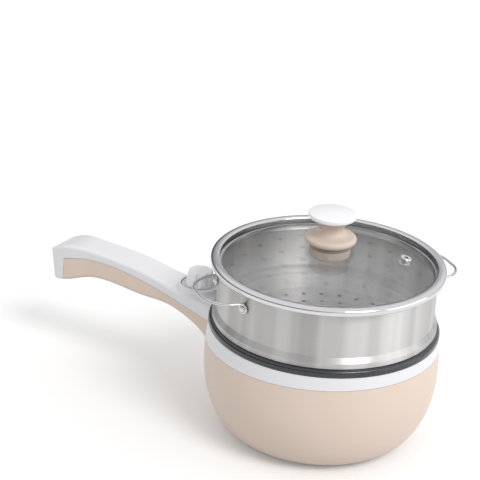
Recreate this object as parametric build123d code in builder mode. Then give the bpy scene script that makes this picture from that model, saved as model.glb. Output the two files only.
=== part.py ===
from build123d import *
import math
import os

# Electric hot pot with a steamer basket and a glass lid, all lengths in millimetres.
# The origin lies on the pot's axis in the plane of the floor, +Z is up and the handle points along -X.

# ---- Pot: casing and inner pot -------------------------------------------------------------
rim_radius = 100.0            # outside of the inner pot's rolled rim
pot_height = 105.5            # floor to the top of the rolled rim
rim_width = 5.0               # rolled rim, across
rim_depth = 6.5               # rolled rim, top to underside
rim_outer_round = 3.0
rim_inner_round = 0.9
body_swell = 2.0              # the casing's widest part stands this far outside the rim
body_widest_height = 68.0
base_radius = 66.0            # flat underside of the casing
bowl_fullness = 0.56          # 0.55 makes the bowl's curve an ellipse, more makes it fuller
casing_wall = 2.0
band_top_inset = 0.4          # the band's top edge stands this far inside the rim's outside
floor_gap = 1.5               # casing above the floor
pot_wall = 1.8
pot_floor_wall = 2.0
pot_floor_height = 22.0       # inside floor of the pot above the table
pot_floor_inset = 6.0         # the pot's flat floor ends this far inside the casing's underside
pot_waist_inset = 1.0         # the pot's wall leans in by this much at the casing's widest height
pot_neck_clearance = 0.3

# ---- Seam between the white frame and the coloured casing ----------------------------------
seam_depth = 18.9             # below the rim's top, on the pot's axis
seam_drop = 2.3               # lower at the handle side, higher opposite
seam_gap = 0.35
seam_at_dial = 8.6            # seam below the handle's top at the dial,
seam_at_flare = 6.8           # below the same height halfway along the dial's flare,
seam_at_neck = 8.2            # below the top halfway to the crest,
seam_at_crest = 8.8           # at the crest
seam_at_cap = 5.8             # and at the end cap, below the end's head
seam_cap_slope = 0.25         # the seam's fall where it meets the end cap

# ---- Handle --------------------------------------------------------------------------------
handle_length = 180.5         # rim's outside to the handle's end
handle_width = 31.0
handle_end_swell = 2.0        # each side stands out this much more at the end
handle_end_flare = 23.0       # length over which the sides swell out,
handle_end_straight = 17.5    # which ends this far in front of the end
handle_overlap = 12.0         # the handle's form reaches this far inside the rim
handle_root_half_width = 36.0
handle_root_drop = 8.9        # handle's top at the dial below the rim's top
handle_neck_rise = 7.8        # the grip's top above that, halfway to the crest,
handle_crest_rise = 11.8      # at the crest,
handle_brow_rise = 9.9        # at the brow just before the end
handle_end_rise = 3.6         # and at the end's head
handle_crest_setback = 42.5   # end to crest
handle_brow_setback = 15.0    # end to brow
handle_end_fall = 0.75        # slope of the top where it meets the end
handle_root_depth = 19.2      # top to underside at the dial,
handle_neck_depth = 24.3      # halfway to the crest
handle_grip_depth = 27.3      # and at the crest
handle_hook_setback = 28.5    # end to the hook, where the underside dips to the end's foot
handle_hook_drop = 4.6        # underside at the hook below the crest's
handle_end_height = 29.8      # end's head to its foot
handle_end_lean = 4.0         # the end's foot stands this far in from its head
handle_foot_slope = 0.05
handle_throat_depth = 30.4    # where the underside runs into the bowl, below the top at the dial
handle_throat_drop = 13.5     # and how much further it falls behind the bowl's wall
handle_throat_slope = 1.3
dial_flare = 8.0              # each side stands out this much beside the dial
dial_flare_length = 41.0      # dial to the place where the grip gets its even width
handle_top_round = 2.6
handle_bottom_round = 3.4
handle_corner_round = 3.6
end_cap_length = 15.0         # white end cap, measured along the grip

# ---- Dial ----------------------------------------------------------------------------------
dial_offset = 27.0            # rim's outside to the dial's axis
dial_boss_radius = 19.4
dial_boss_spread = 2.0        # the boss's foot is wider by this much
dial_boss_rise = 6.2          # boss above the handle's top
dial_boss_rim = 2.0
dial_boss_land = 1.2          # upright edge at the boss's top
dial_boss_round = 0.8
dial_boss_foot_slope = 0.35
dial_boss_wall_slope = 0.12
dial_recess_depth = 2.6
dial_ring_thickness = 1.6
dial_ring_gap = 0.9
knob_base_radius = 13.2
knob_top_radius = 10.9
knob_height = 13.3
knob_round = 1.6
knob_flutes = 8
knob_flute_radius = 3.6
knob_flute_depth = 1.5
knob_skirt = 1.8              # plain skirt below the flutes
knob_cavity_radius = 8.2
knob_cavity_height = 4.2
knob_float = 0.35             # air under the knob
shaft_radius = 3.0
shaft_flat = 0.8
shaft_clearance = 0.05

# ---- Rotary switch -------------------------------------------------------------------------
switch_height = 11.0
switch_length = 20.0
switch_width = 22.0
bushing_radius = 4.5
bushing_height = 5.4
nut_radius = 6.6
nut_height = 2.0
ring_bore_clearance = 1.6     # between the nut and the ring in the recess

# ---- Steamer -------------------------------------------------------------------------------
steamer_inset = 6.0           # the steamer's wall stands this far inside the pot's rim
steamer_height = 49.0         # rim above the bead's underside
steamer_bead_width = 3.0      # the bead stands out from the wall by this much
steamer_bead_height = 4.8
steamer_flare_height = 4.4
steamer_skirt_clearance = 5.0
steamer_skirt_depth = 15.0
steamer_sheet = 0.8
steamer_rim_roll = 1.55       # radius of the rolled edge
hem_width = 6.0
floor_clearance = 0.4
hole_radius = 2.2
hole_pitch = 15.6             # between the rings of holes
hole_ring_count = 6           # holes in the first ring, and as many more in each next one
hole_margin = 8.0
seat_gap = 0.3                # between loose pieces that rest on each other
loop_azimuth = 54.0           # the steamer's handles lie on this line and opposite it
loop_stand = 26.0             # the loops stand out from the steamer's wall by this much
loop_half_span = 29.5
loop_corner_round = 23.0
loop_shoulder = 4.5           # each leg leans in by this much
loop_lift = 1.0               # the wire leaves the eye this much outside its centre line
wire_radius = 1.3
eye_radius = 3.4
eye_wire_radius = 1.2
eye_drop = 15.0               # eye's centre below the steamer's rim
rivet_head_radius = 2.8
rivet_head_height = 1.5
rivet_head_round = 1.2
rivet_radius = 2.0
rivet_tail = 0.8

# ---- Lid -----------------------------------------------------------------------------------
lid_overhang = 7.0            # the lid stands out from the steamer's wall by this much
band_sheet = 0.8
band_ledge = 7.8              # width of the band seen from above
band_round = 1.4
lid_skirt_clearance = 1.6
lid_skirt_depth = 5.0
glass_thickness = 4.0
dome_rise = 18.0
vent_reach = 65.0
vent_azimuth = 24.0
vent_radius = 5.0
vent_neck_radius = 3.6
vent_bore = 1.7
vent_flange = 0.7
lid_knob_radius = 22.0
lid_knob_flange = 6.4
lid_knob_foot_edge = 3.2      # the flange's foot stands this far inside its widest place
lid_knob_top_edge = 4.5       # and so does its top
lid_knob_waist_radius = 10.6
lid_knob_waist_height = 12.0  # above the glass
lid_knob_neck_radius = 18.6
lid_knob_neck_height = 22.0
lid_knob_foot_slope = 0.3
lid_knob_top_slope = 0.12
lid_knob_neck_slope = 0.8
lid_cap_radius = 20.5
lid_cap_thickness = 4.2
lid_cap_crown = 1.6
lid_cap_lip = 1.2
washer_radius = 17.5
washer_depth = 9.2
washer_round = 3.6
screw_radius = 2.0
lid_screw_bite = 15.0
lid_screw_head_radius = 3.6
lid_screw_head_height = 2.4
lid_screw_sink = 4.0

# ---- Base and heater -----------------------------------------------------------------------
base_cover_inset = 4.0
base_cover_thickness = 2.2
base_ledge_width = 6.0
foot_inset = 6.0              # the rubber ring stands this far inside the casing's underside
foot_width = 12.0
foot_tongue_width = 6.0
foot_tongue = 1.0
foot_round = 0.6
heater_inset = 3.0            # plate inside the pot's flat floor
heater_thickness = 4.0
element_inset = 15.0          # element's centre line inside the plate's edge
element_radius = 3.3
element_sink = 1.0            # element's centre below the plate
element_gap_angle = 20.0
terminal_radius = 2.0
terminal_length = 24.0
shield_sheet = 0.6
shield_clearance = 1.6
shield_slot_length = 28.0
shield_slot_margin = 5.0
thermostat_radius = 9.0
thermostat_height = 5.4
thermostat_tab = 1.8
fuse_radius = 1.9
fuse_length = 14.0
fuse_spacing = 11.0           # thermostat's side to the fuse
clip_length = 5.6
clip_span = 11.4
base_screw_count = 3
base_screw_inset = 11.0       # inside the element's centre line
base_screw_radius = 1.6
base_screw_head_radius = 3.2
base_screw_head_height = 2.0
base_post_radius = 4.2
vent_slot_count = 6
vent_slot_reach = 20.0
vent_slot_width = 3.0
vent_slot_length = 14.0

# ---- Inlet at the handle's end -------------------------------------------------------------
inlet_width = 26.6
inlet_height = 18.8
inlet_wall = 1.3
inlet_clearance = 0.2
inlet_depth = 17.0
inlet_floor = 3.0
inlet_round = 2.5
inlet_rise = 0.4              # socket's centre above the middle of the end face
pin_width = 2.0
pin_height = 4.0
pin_spacing = 7.0
pin_offset = 2.0              # the earth pin stands this much above the middle, the others below
pin_length = 12.5
pin_chamfer = 0.4

# ---- Small fittings ------------------------------------------------------------------------
fit_gap = 0.1                 # between pieces of one body that slip into each other
first_screw_offset = 31.0     # dial to the nearer screw in the grip
last_screw_setback = 36.5     # handle's end to the further one
tower_radius = 3.6
tower_head_radius = 2.6
screw_pilot_radius = 1.4
screw_bite = 6.0              # thread length in the cover's posts
post_split_drop = 5.6         # where towers and posts meet, below the handle's top at the dial
tower_floor = 4.6             # plastic between the screws' heads and the split
handle_screw_head = 1.6
screw_head_inset = 0.5
wire_core = 1.0
wire_bend = 5.0
wire_lane = 3.0               # the wires pass the towers at this distance
wire_turn = 9.0               # straight end behind the inlet
wire_lead = 12.0              # straight end in front of the heater's terminal
wire_rise = 3.0               # the wires enter the bowl this much above the handle's floor
wire_stops = (0.8, 0.62, 0.45)  # shares of the wall's length where the wires touch its middle line

os.makedirs("parts", exist_ok=True)

# ---- Values that follow from the ones above ------------------------------------------------
pot_axis = Axis.Z
body_radius = rim_radius + body_swell
band_top = pot_height - rim_depth
band_radius = rim_radius - band_top_inset
pot_top_radius = rim_radius - rim_width
pot_neck_radius = pot_top_radius + pot_wall
pot_waist = pot_top_radius - pot_waist_inset
pot_floor_radius = base_radius - pot_floor_inset
pot_under = pot_floor_height - pot_floor_wall
seam_height = pot_height - seam_depth

handle_reach = rim_radius + handle_length
handle_half = handle_width / 2
handle_end_half = handle_half + handle_end_swell
handle_root = rim_radius - handle_overlap
handle_root_top = pot_height - handle_root_drop
handle_crest_reach = handle_reach - handle_crest_setback
handle_crest_top = handle_root_top + handle_crest_rise
handle_neck_top = handle_root_top + handle_neck_rise
handle_end_top = handle_root_top + handle_end_rise
handle_end_bottom = handle_end_top - handle_end_height
handle_throat_height = handle_root_top - handle_throat_depth
far_reach = handle_reach + casing_wall
far_side = body_radius + handle_width
post_split = handle_root_top - post_split_drop
handle_screw_seat = post_split - tower_floor

dial_reach = rim_radius + dial_offset
handle_neck_reach = (dial_reach + handle_crest_reach) / 2
screw_reaches = (dial_reach + first_screw_offset, handle_reach - last_screw_setback)
dial_x = -dial_reach
dial_axis = Axis((dial_x, 0, 0), (0, 0, 1))
dial_boss_top = handle_root_top + dial_boss_rise
dial_recess_radius = dial_boss_radius - dial_boss_rim
dial_floor = dial_boss_top - dial_recess_depth
switch_top = dial_floor - casing_wall

steamer_wall_radius = rim_radius - steamer_inset
steamer_bead_radius = steamer_wall_radius + steamer_bead_width
steamer_skirt_radius = pot_top_radius - steamer_skirt_clearance
steamer_seat = pot_height + seat_gap
steamer_rim = steamer_seat + steamer_height
rivet_angle = math.degrees(math.asin(loop_half_span / steamer_wall_radius))

lid_radius = steamer_wall_radius + lid_overhang
lid_skirt_radius = steamer_wall_radius - steamer_sheet - lid_skirt_clearance
lid_seat = steamer_rim + seat_gap
dome_foot_radius = lid_radius - band_ledge
glass_bottom = lid_seat + band_sheet
glass_top = glass_bottom + glass_thickness
dome_radius = (dome_foot_radius**2 + dome_rise**2) / (2 * dome_rise)
dome_centre = glass_top + dome_rise - dome_radius
apex = glass_top + dome_rise
vent_lean = math.degrees(math.asin(vent_reach / dome_radius))

cover_seat = floor_gap + base_cover_thickness
cover_radius = base_radius - base_cover_inset
ledge_inner = cover_radius - base_ledge_width
foot_outer = base_radius - foot_inset
foot_inner = foot_outer - foot_width
heater_radius = pot_floor_radius - heater_inset
heater_bottom = pot_under - heater_thickness
element_ring_radius = heater_radius - element_inset
element_height = heater_bottom - element_sink
base_screw_reach = element_ring_radius - base_screw_inset
fuse_reach = thermostat_radius + fuse_spacing
inlet_middle = (handle_end_top + handle_end_bottom) / 2 + inlet_rise


# ==== Shared forms of the casing ============================================================
def wall_points(side, flat_radius, floor_z):
    """Control points of a bowl's wall, from its flat floor's edge up to its widest height."""
    rise = (body_widest_height - floor_z) * bowl_fullness
    run = (side - flat_radius) * bowl_fullness
    return [
        (flat_radius, floor_z),
        (flat_radius + run, floor_z),
        (side, body_widest_height - rise),
        (side, body_widest_height),
    ]


def bowl_form(inset, top):
    """Solid of the bowl, drawn in by inset and cut flat at the height top."""
    floor_z = floor_gap + inset
    side = body_radius - inset
    shoulder = (top + body_widest_height) / 2
    neck = band_radius - inset
    with BuildPart() as form:
        with BuildSketch(Plane.XZ):
            with BuildLine():
                Line((0, floor_z), (base_radius, floor_z))
                Bezier(*wall_points(side, base_radius, floor_z))
                Bezier((side, body_widest_height), (side, shoulder), (neck, top))
                Polyline((neck, top), (0, top), (0, floor_z))
            make_face()
        revolve(axis=pot_axis)
    return form.part


def handle_form(inset):
    """Solid of the handle, drawn in by inset: its side outline crossed with its plan outline."""
    root = -handle_root
    root_foot = handle_throat_height - handle_throat_drop + inset
    root_side = handle_root_half_width - inset * math.sqrt(2)
    grip_side = handle_half - inset
    end_side = handle_end_half - inset
    end_head = (-handle_reach + inset, handle_end_top - inset)
    end_foot = (-handle_reach + handle_end_lean + inset, handle_end_bottom + inset)
    top = handle_root_top - inset
    crest_bottom = handle_crest_top - handle_grip_depth + inset
    flare_end = -handle_reach + handle_end_straight
    with BuildPart() as form:
        with BuildSketch(Plane.XZ.offset(-body_radius)):
            with BuildLine():
                Polyline((root, root_foot), (root, top), (-dial_reach, top))
                Spline(
                    (-dial_reach, top),
                    (-handle_neck_reach, handle_neck_top - inset),
                    (-handle_crest_reach, handle_crest_top - inset),
                    (-handle_reach + handle_brow_setback, handle_root_top + handle_brow_rise - inset),
                    end_head,
                    tangents=((-1, 0), (-1, -handle_end_fall)),
                )
                Line(end_head, end_foot)
                Spline(
                    end_foot,
                    (-handle_reach + handle_hook_setback, crest_bottom - handle_hook_drop),
                    (-handle_crest_reach, crest_bottom),
                    (-handle_neck_reach, handle_neck_top - handle_neck_depth + inset),
                    (-dial_reach, handle_root_top - handle_root_depth + inset),
                    (-body_radius + inset, handle_throat_height + inset),
                    (root, root_foot),
                    tangents=((1, handle_foot_slope), (1, -handle_throat_slope)),
                )
            make_face()
        extrude(amount=2 * body_radius)
        with BuildSketch(Plane.XY):
            with BuildLine():
                Line((root, 0), (root, root_side))
                Spline(
                    (root, root_side),
                    (-dial_reach, grip_side + dial_flare),
                    (-dial_reach - dial_flare_length, grip_side),
                    tangents=((-1, -1), (-1, 0)),
                )
                Line((-dial_reach - dial_flare_length, grip_side), (flare_end + handle_end_flare, grip_side))
                Spline(
                    (flare_end + handle_end_flare, grip_side),
                    (flare_end, end_side),
                    tangents=((-1, 0), (-1, 0)),
                )
                Polyline((flare_end, end_side), (-handle_reach + inset, end_side), (-handle_reach + inset, 0))
                mirror(about=Plane.XZ)
            make_face()
        extrude(amount=2 * pot_height, mode=Mode.INTERSECT)
    return form.part


def seam_form(gap):
    """Everything above the seam and beyond the end cap's edge, grown by gap."""
    edge = handle_reach - end_cap_length - gap
    near_z = seam_height - seam_drop - gap
    far_z = seam_height + seam_drop * far_side / rim_radius - gap
    cap_z = handle_end_top - seam_at_cap - gap
    with BuildPart() as form:
        with BuildSketch(Plane.XZ.offset(-far_side)):
            with BuildLine():
                Line((far_side, far_z), (-rim_radius, near_z))
                Spline(
                    (-rim_radius, near_z),
                    (-dial_reach, handle_root_top - seam_at_dial - gap),
                    (-dial_reach - dial_flare_length / 2, handle_root_top - seam_at_flare - gap),
                    (-handle_neck_reach, handle_neck_top - seam_at_neck - gap),
                    (-handle_crest_reach, handle_crest_top - seam_at_crest - gap),
                    (-edge, cap_z),
                    tangents=((-1, -seam_drop / rim_radius), (-1, -seam_cap_slope)),
                )
                Polyline(
                    (-edge, cap_z),
                    (-edge, -pot_height),
                    (-far_reach, -pot_height),
                    (-far_reach, 2 * pot_height),
                    (far_side, 2 * pot_height),
                    (far_side, far_z),
                )
            make_face()
        extrude(amount=2 * far_side)
    return form.part


def ring(inner_radius, outer_radius, low, high):
    """Plain ring about the pot's axis, as a part of its own."""
    with BuildPart() as form:
        with BuildSketch(Plane.XY.offset(low)):
            Circle(outer_radius)
            if inner_radius:
                Circle(inner_radius, mode=Mode.SUBTRACT)
        extrude(amount=high - low)
    return form.part


def inlet_block(width, height, near, far):
    """Rounded bar along the handle's end, from distance near to distance far from the pot's axis."""
    with BuildPart() as form:
        with BuildSketch(Plane.YZ.offset(-far)):
            with Locations((0, inlet_middle)):
                RectangleRounded(width, height, inlet_round)
        extrude(amount=far - near)
    return form.part


# The handle's outer form gets its rounds: upright end corners, then the rims of top and underside.
with BuildPart() as handle_body:
    add(handle_form(0))
    end_face = handle_body.faces().sort_by(Axis.X)[0]
    fillet(end_face.edges().group_by(Axis.Z)[1], handle_corner_round)
    for facing, radius in ((1, handle_top_round), (-1, handle_bottom_round)):
        faces = handle_body.faces().filter_by(lambda f: f.normal_at().Z * facing > 0.5)
        rim = faces.edges().filter_by(lambda e: e.center().X < -rim_radius)
        fillet(rim.filter_by(lambda e: abs(e.center().X + dial_reach) > fit_gap), radius)

handle_outer = handle_body.part
handle_inner = handle_form(casing_wall)
cover_region = seam_form(0)
cover_region_grown = seam_form(seam_gap)
boss_void = dial_boss_radius - casing_wall

# The dial's boss: a low round turret with a hollow foot, which the knob is sunk into.
with BuildPart() as dial_boss:
    with BuildSketch(Plane.XZ):
        with BuildLine():
            Polyline(
                (dial_x, handle_root_top - casing_wall),
                (dial_x + dial_boss_radius + dial_boss_spread, handle_root_top - casing_wall),
                (dial_x + dial_boss_radius + dial_boss_spread, handle_root_top),
            )
            Spline(
                (dial_x + dial_boss_radius + dial_boss_spread, handle_root_top),
                (dial_x + dial_boss_radius, dial_boss_top - dial_boss_land),
                tangents=((-1, dial_boss_foot_slope), (-dial_boss_wall_slope, 1)),
            )
            Polyline(
                (dial_x + dial_boss_radius, dial_boss_top - dial_boss_land),
                (dial_x + dial_boss_radius, dial_boss_top),
                (dial_x, dial_boss_top),
                (dial_x, handle_root_top - casing_wall),
            )
        make_face()
    revolve(axis=dial_axis)
    fillet(dial_boss.edges().group_by(Axis.Z)[-1], dial_boss_round)

# Outer skin of bowl, handle and boss in one, hollowed to an even wall.
with BuildPart() as casing:
    add(bowl_form(0, band_top))
    add(handle_outer)
    add(dial_boss.part)
    add(bowl_form(casing_wall, band_top - casing_wall), mode=Mode.SUBTRACT)
    add(handle_inner, mode=Mode.SUBTRACT)
    with Locations((dial_x, 0, 0)):
        with Locations((0, 0, handle_root_top - 2 * casing_wall)):
            Cylinder(
                boss_void,
                switch_top - handle_root_top + 2 * casing_wall,
                align=(Align.CENTER, Align.CENTER, Align.MIN),
                mode=Mode.SUBTRACT,
            )
        with Locations((0, 0, dial_floor)):
            Cylinder(
                dial_recess_radius,
                dial_recess_depth * 2,
                align=(Align.CENTER, Align.CENTER, Align.MIN),
                mode=Mode.SUBTRACT,
            )
    add(ring(0, pot_neck_radius + pot_neck_clearance, body_widest_height, pot_height), mode=Mode.SUBTRACT)

# Screw posts inside the grip: a tower on the lower shell meets a post under the cover.
with BuildPart() as towers:
    with Locations(*[(-reach, 0, 0) for reach in screw_reaches]):
        Cylinder(tower_radius, post_split, align=(Align.CENTER, Align.CENTER, Align.MIN))
    add(handle_outer, mode=Mode.INTERSECT)

with BuildPart() as cover_posts:
    with Locations(*[(-reach, 0, post_split + seam_gap) for reach in screw_reaches]):
        Cylinder(tower_radius, pot_height, align=(Align.CENTER, Align.CENTER, Align.MIN))
    add(handle_outer, mode=Mode.INTERSECT)

inlet_cut = inlet_block(
    inlet_width + 2 * inlet_clearance,
    inlet_height + 2 * inlet_clearance,
    handle_reach - inlet_depth - inlet_clearance,
    far_reach,
)

# ==== White frame: rim band, handle cover, dial boss and end cap in one moulding ==============
with BuildPart() as top_frame:
    add(casing.part)
    add(cover_region, mode=Mode.INTERSECT)
    add(cover_posts.part)
    add(inlet_cut, mode=Mode.SUBTRACT)
    with Locations((dial_x, 0, switch_top)):
        Cylinder(bushing_radius + fit_gap, casing_wall * 3, mode=Mode.SUBTRACT)
    with Locations(*[(-reach, 0, 0) for reach in screw_reaches]):
        Cylinder(
            screw_pilot_radius,
            post_split + screw_bite,
            align=(Align.CENTER, Align.CENTER, Align.MIN),
            mode=Mode.SUBTRACT,
        )
top_frame.part.label = "top_frame"
export_step(top_frame.part, "parts/top_frame.step")

# ==== Coloured casing: bowl and the lower half of the handle in one moulding ==================
with BuildPart() as outer_shell:
    add(casing.part)
    add(towers.part)
    add(cover_region_grown, mode=Mode.SUBTRACT)
    add(ring(ledge_inner, base_radius, floor_gap + casing_wall / 2, cover_seat + casing_wall))
    add(ring(0, cover_radius, 0, cover_seat), mode=Mode.SUBTRACT)
    add(ring(0, ledge_inner, 0, cover_seat + casing_wall), mode=Mode.SUBTRACT)
    add(inlet_cut, mode=Mode.SUBTRACT)
    with Locations(*[(-reach, 0, 0) for reach in screw_reaches]):
        Cylinder(screw_pilot_radius + fit_gap, pot_height * 2, mode=Mode.SUBTRACT)
        Cylinder(
            tower_head_radius,
            handle_screw_seat,
            align=(Align.CENTER, Align.CENTER, Align.MIN),
            mode=Mode.SUBTRACT,
        )
outer_shell.part.label = "outer_shell"
export_step(outer_shell.part, "parts/outer_shell.step")

# ==== Inner pot: spun aluminium with a rolled rim ============================================
pot_outside = wall_points(pot_waist + pot_wall, pot_floor_radius, pot_under)
with BuildPart() as inner_pot:
    with BuildSketch(Plane.XZ):
        with BuildLine():
            Line((0, pot_floor_height), (pot_floor_radius, pot_floor_height))
            Bezier(*wall_points(pot_waist, pot_floor_radius, pot_floor_height))
            Line((pot_waist, body_widest_height), (pot_top_radius, band_top))
            Polyline((pot_top_radius, band_top), (pot_neck_radius, band_top))
            Line((pot_neck_radius, band_top), (pot_waist + pot_wall, body_widest_height))
            Bezier(*reversed(pot_outside))
            Polyline((pot_floor_radius, pot_under), (0, pot_under), (0, pot_floor_height))
        make_face()
    revolve(axis=pot_axis)
    with BuildSketch(Plane.XZ) as rim_profile:
        with Locations((pot_top_radius + rim_width / 2, band_top + rim_depth / 2)):
            Rectangle(rim_width, rim_depth)
        fillet(rim_profile.vertices().group_by(Axis.Y)[-1].sort_by(Axis.X)[-1], rim_outer_round)
        fillet(rim_profile.vertices().group_by(Axis.Y)[-1].sort_by(Axis.X)[0], rim_inner_round)
        fillet(rim_profile.vertices().group_by(Axis.Y)[0].sort_by(Axis.X)[-1], rim_inner_round)
    revolve(axis=pot_axis)
inner_pot.part.label = "inner_pot"
export_step(inner_pot.part, "parts/inner_pot.step")

# ==== Base: rubber ring, cover and its screws ================================================
with BuildPart() as foot_ring:
    add(ring(foot_inner, foot_outer, 0, floor_gap))
    add(ring(foot_inner, foot_inner + foot_tongue_width, 0, floor_gap + foot_tongue))
    fillet(foot_ring.edges().group_by(Axis.Z)[0], foot_round)
foot_ring.part.label = "foot_ring"
export_step(foot_ring.part, "parts/foot_ring.step")

base_screw_places = PolarLocations(base_screw_reach, base_screw_count, start_angle=90)
with BuildPart() as base_cover:
    add(ring(0, cover_radius - fit_gap, floor_gap, cover_seat))
    add(ring(foot_inner, foot_inner + foot_tongue_width, 0, floor_gap + foot_tongue), mode=Mode.SUBTRACT)
    with BuildSketch(Plane.XY.offset(cover_seat)):
        with base_screw_places:
            Circle(base_post_radius)
    extrude(amount=heater_bottom - cover_seat)
    with BuildSketch(Plane.XY.offset(floor_gap)):
        with PolarLocations(vent_slot_reach, vent_slot_count):
            SlotOverall(vent_slot_length, vent_slot_width, rotation=90)
    extrude(amount=base_cover_thickness, mode=Mode.SUBTRACT)
    with base_screw_places:
        Cylinder(base_screw_radius + fit_gap, pot_height, mode=Mode.SUBTRACT)
        Cylinder(base_screw_head_radius + fit_gap, 2 * (floor_gap + base_screw_head_height), mode=Mode.SUBTRACT)
base_cover.part.label = "base_cover"
export_step(base_cover.part, "parts/base_cover.step")

with BuildPart() as base_screws:
    with base_screw_places:
        with Locations((0, 0, floor_gap + screw_head_inset)):
            Cylinder(
                base_screw_head_radius,
                base_screw_head_height - screw_head_inset,
                align=(Align.CENTER, Align.CENTER, Align.MIN),
            )
            Cylinder(
                base_screw_radius,
                heater_bottom + heater_thickness / 2 - floor_gap - screw_head_inset,
                align=(Align.CENTER, Align.CENTER, Align.MIN),
            )
base_screws.part.label = "base_screws"
export_step(base_screws.part, "parts/base_screws.step")

# ==== Heater: plate, tubular element, thermostat, fuse and shield ============================
gap_angle = 180 - element_gap_angle
gap_x = element_ring_radius * math.cos(math.radians(gap_angle))
gap_y = element_ring_radius * math.sin(math.radians(gap_angle))
with BuildPart() as heating_element:
    with BuildLine() as element_path:
        CenterArc((0, 0, element_height), element_ring_radius, -gap_angle, 2 * gap_angle)
    with BuildSketch(Plane(origin=element_path.line @ 0, z_dir=element_path.line % 0)):
        Circle(element_radius)
    sweep()
    with Locations(*[(gap_x, y, element_height) for y in (-gap_y, gap_y)]):
        Sphere(element_radius)
        Cylinder(
            terminal_radius,
            terminal_length,
            rotation=(0, -90, 0),
            align=(Align.CENTER, Align.CENTER, Align.MIN),
        )
heating_element.part.label = "heating_element"
export_step(heating_element.part, "parts/heating_element.step")

with BuildPart() as heater_plate:
    add(ring(0, heater_radius, heater_bottom, pot_under))
    add(heating_element.part, mode=Mode.SUBTRACT)
    with base_screw_places:
        Cylinder(base_screw_radius, 2 * (heater_bottom + heater_thickness / 2), mode=Mode.SUBTRACT)
heater_plate.part.label = "heater_plate"
export_step(heater_plate.part, "parts/heater_plate.step")

with BuildPart() as thermostat:
    add(ring(0, thermostat_radius, heater_bottom - thermostat_height, heater_bottom))
    with BuildSketch(Plane.XY.offset(heater_bottom - thermostat_height)):
        with Locations((0, thermostat_radius / 2), (0, -thermostat_radius / 2)):
            Rectangle(terminal_radius * 2, pin_width / 2)
    extrude(amount=-thermostat_tab)
    chamfer(thermostat.edges().filter_by(GeomType.CIRCLE).group_by(Axis.Z)[0], screw_head_inset)
thermostat.part.label = "thermostat"
export_step(thermostat.part, "parts/thermostat.step")

fuse_place = Location((-fuse_reach, 0, heater_bottom - fuse_radius))
with BuildPart() as thermal_fuse:
    with Locations(fuse_place):
        Cylinder(fuse_radius, fuse_length, rotation=(90, 0, 0))
thermal_fuse.part.label = "thermal_fuse"
export_step(thermal_fuse.part, "parts/thermal_fuse.step")

with BuildPart() as fuse_clip:
    with BuildSketch(Plane.XZ.offset(-clip_length / 2)):
        with Locations((-fuse_reach, heater_bottom - fuse_radius)):
            Circle(fuse_radius + shield_sheet)
        with Locations((-fuse_reach, heater_bottom - fuse_radius / 2)):
            Rectangle(2 * (fuse_radius + shield_sheet), fuse_radius)
        with Locations((-fuse_reach, heater_bottom - shield_sheet / 2)):
            Rectangle(clip_span, shield_sheet)
        with Locations((-fuse_reach, heater_bottom - fuse_radius)):
            Circle(fuse_radius, mode=Mode.SUBTRACT)
        with Locations((-fuse_reach, heater_bottom)):
            Rectangle(2 * fuse_radius, 2 * fuse_radius, mode=Mode.SUBTRACT)
        with Locations((-fuse_reach, heater_bottom + fuse_radius)):
            Rectangle(clip_span, 2 * fuse_radius, mode=Mode.SUBTRACT)
    extrude(amount=clip_length)
fuse_clip.part.label = "fuse_clip"
export_step(fuse_clip.part, "parts/fuse_clip.step")

shield_radius = heater_radius + shield_clearance
shield_bottom = cover_seat + casing_wall + shield_clearance
with BuildPart() as heat_shield:
    add(ring(0, shield_radius, shield_bottom, pot_under))
    add(ring(0, shield_radius - shield_sheet, shield_bottom + shield_sheet, pot_height), mode=Mode.SUBTRACT)
    with base_screw_places:
        Cylinder(base_post_radius + fit_gap, 2 * heater_bottom, mode=Mode.SUBTRACT)
    with Locations((-shield_radius, 0, element_height)):
        Box(
            shield_slot_length,
            2 * (gap_y + shield_slot_margin),
            2 * (terminal_radius + fit_gap),
            mode=Mode.SUBTRACT,
        )
    with Locations((0, 0, shield_bottom)):
        Cylinder(thermostat_radius + fit_gap, heater_thickness, mode=Mode.SUBTRACT)
heat_shield.part.label = "heat_shield"
export_step(heat_shield.part, "parts/heat_shield.step")

# ==== Rotary switch under the boss, its nut and the ring in the recess =======================
with BuildPart() as rotary_switch:
    with BuildSketch(Plane.XY.offset(switch_top - switch_height)):
        with Locations((dial_x, 0)):
            RectangleRounded(switch_length, switch_width, inlet_round)
    extrude(amount=switch_height)
    with Locations((dial_x, 0, switch_top)):
        Cylinder(bushing_radius, bushing_height, align=(Align.CENTER, Align.CENTER, Align.MIN))
    with Locations(*[(dial_x + dx, 0, switch_top - switch_height) for dx in (-pin_spacing, 0, pin_spacing)]):
        Box(pin_width / 2, pin_height, pin_height * 2)
    with Locations((dial_x, 0, switch_top + bushing_height)):
        Cylinder(
            shaft_radius + shaft_clearance,
            2 * (bushing_height + switch_height - pin_height),
            mode=Mode.SUBTRACT,
        )
rotary_switch.part.label = "rotary_switch"
export_step(rotary_switch.part, "parts/rotary_switch.step")

with BuildPart() as switch_nut:
    with BuildSketch(Plane.XY.offset(dial_floor)):
        with Locations((dial_x, 0)):
            RegularPolygon(nut_radius, 6)
            Circle(bushing_radius, mode=Mode.SUBTRACT)
    extrude(amount=nut_height)
switch_nut.part.label = "switch_nut"
export_step(switch_nut.part, "parts/switch_nut.step")

with BuildPart() as dial_ring:
    with BuildSketch(Plane.XY.offset(dial_floor)):
        with Locations((dial_x, 0)):
            Circle(dial_recess_radius - dial_ring_gap)
            Circle(nut_radius + ring_bore_clearance, mode=Mode.SUBTRACT)
    extrude(amount=dial_ring_thickness)
dial_ring.part.label = "dial_ring"
export_step(dial_ring.part, "parts/dial_ring.step")

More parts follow.
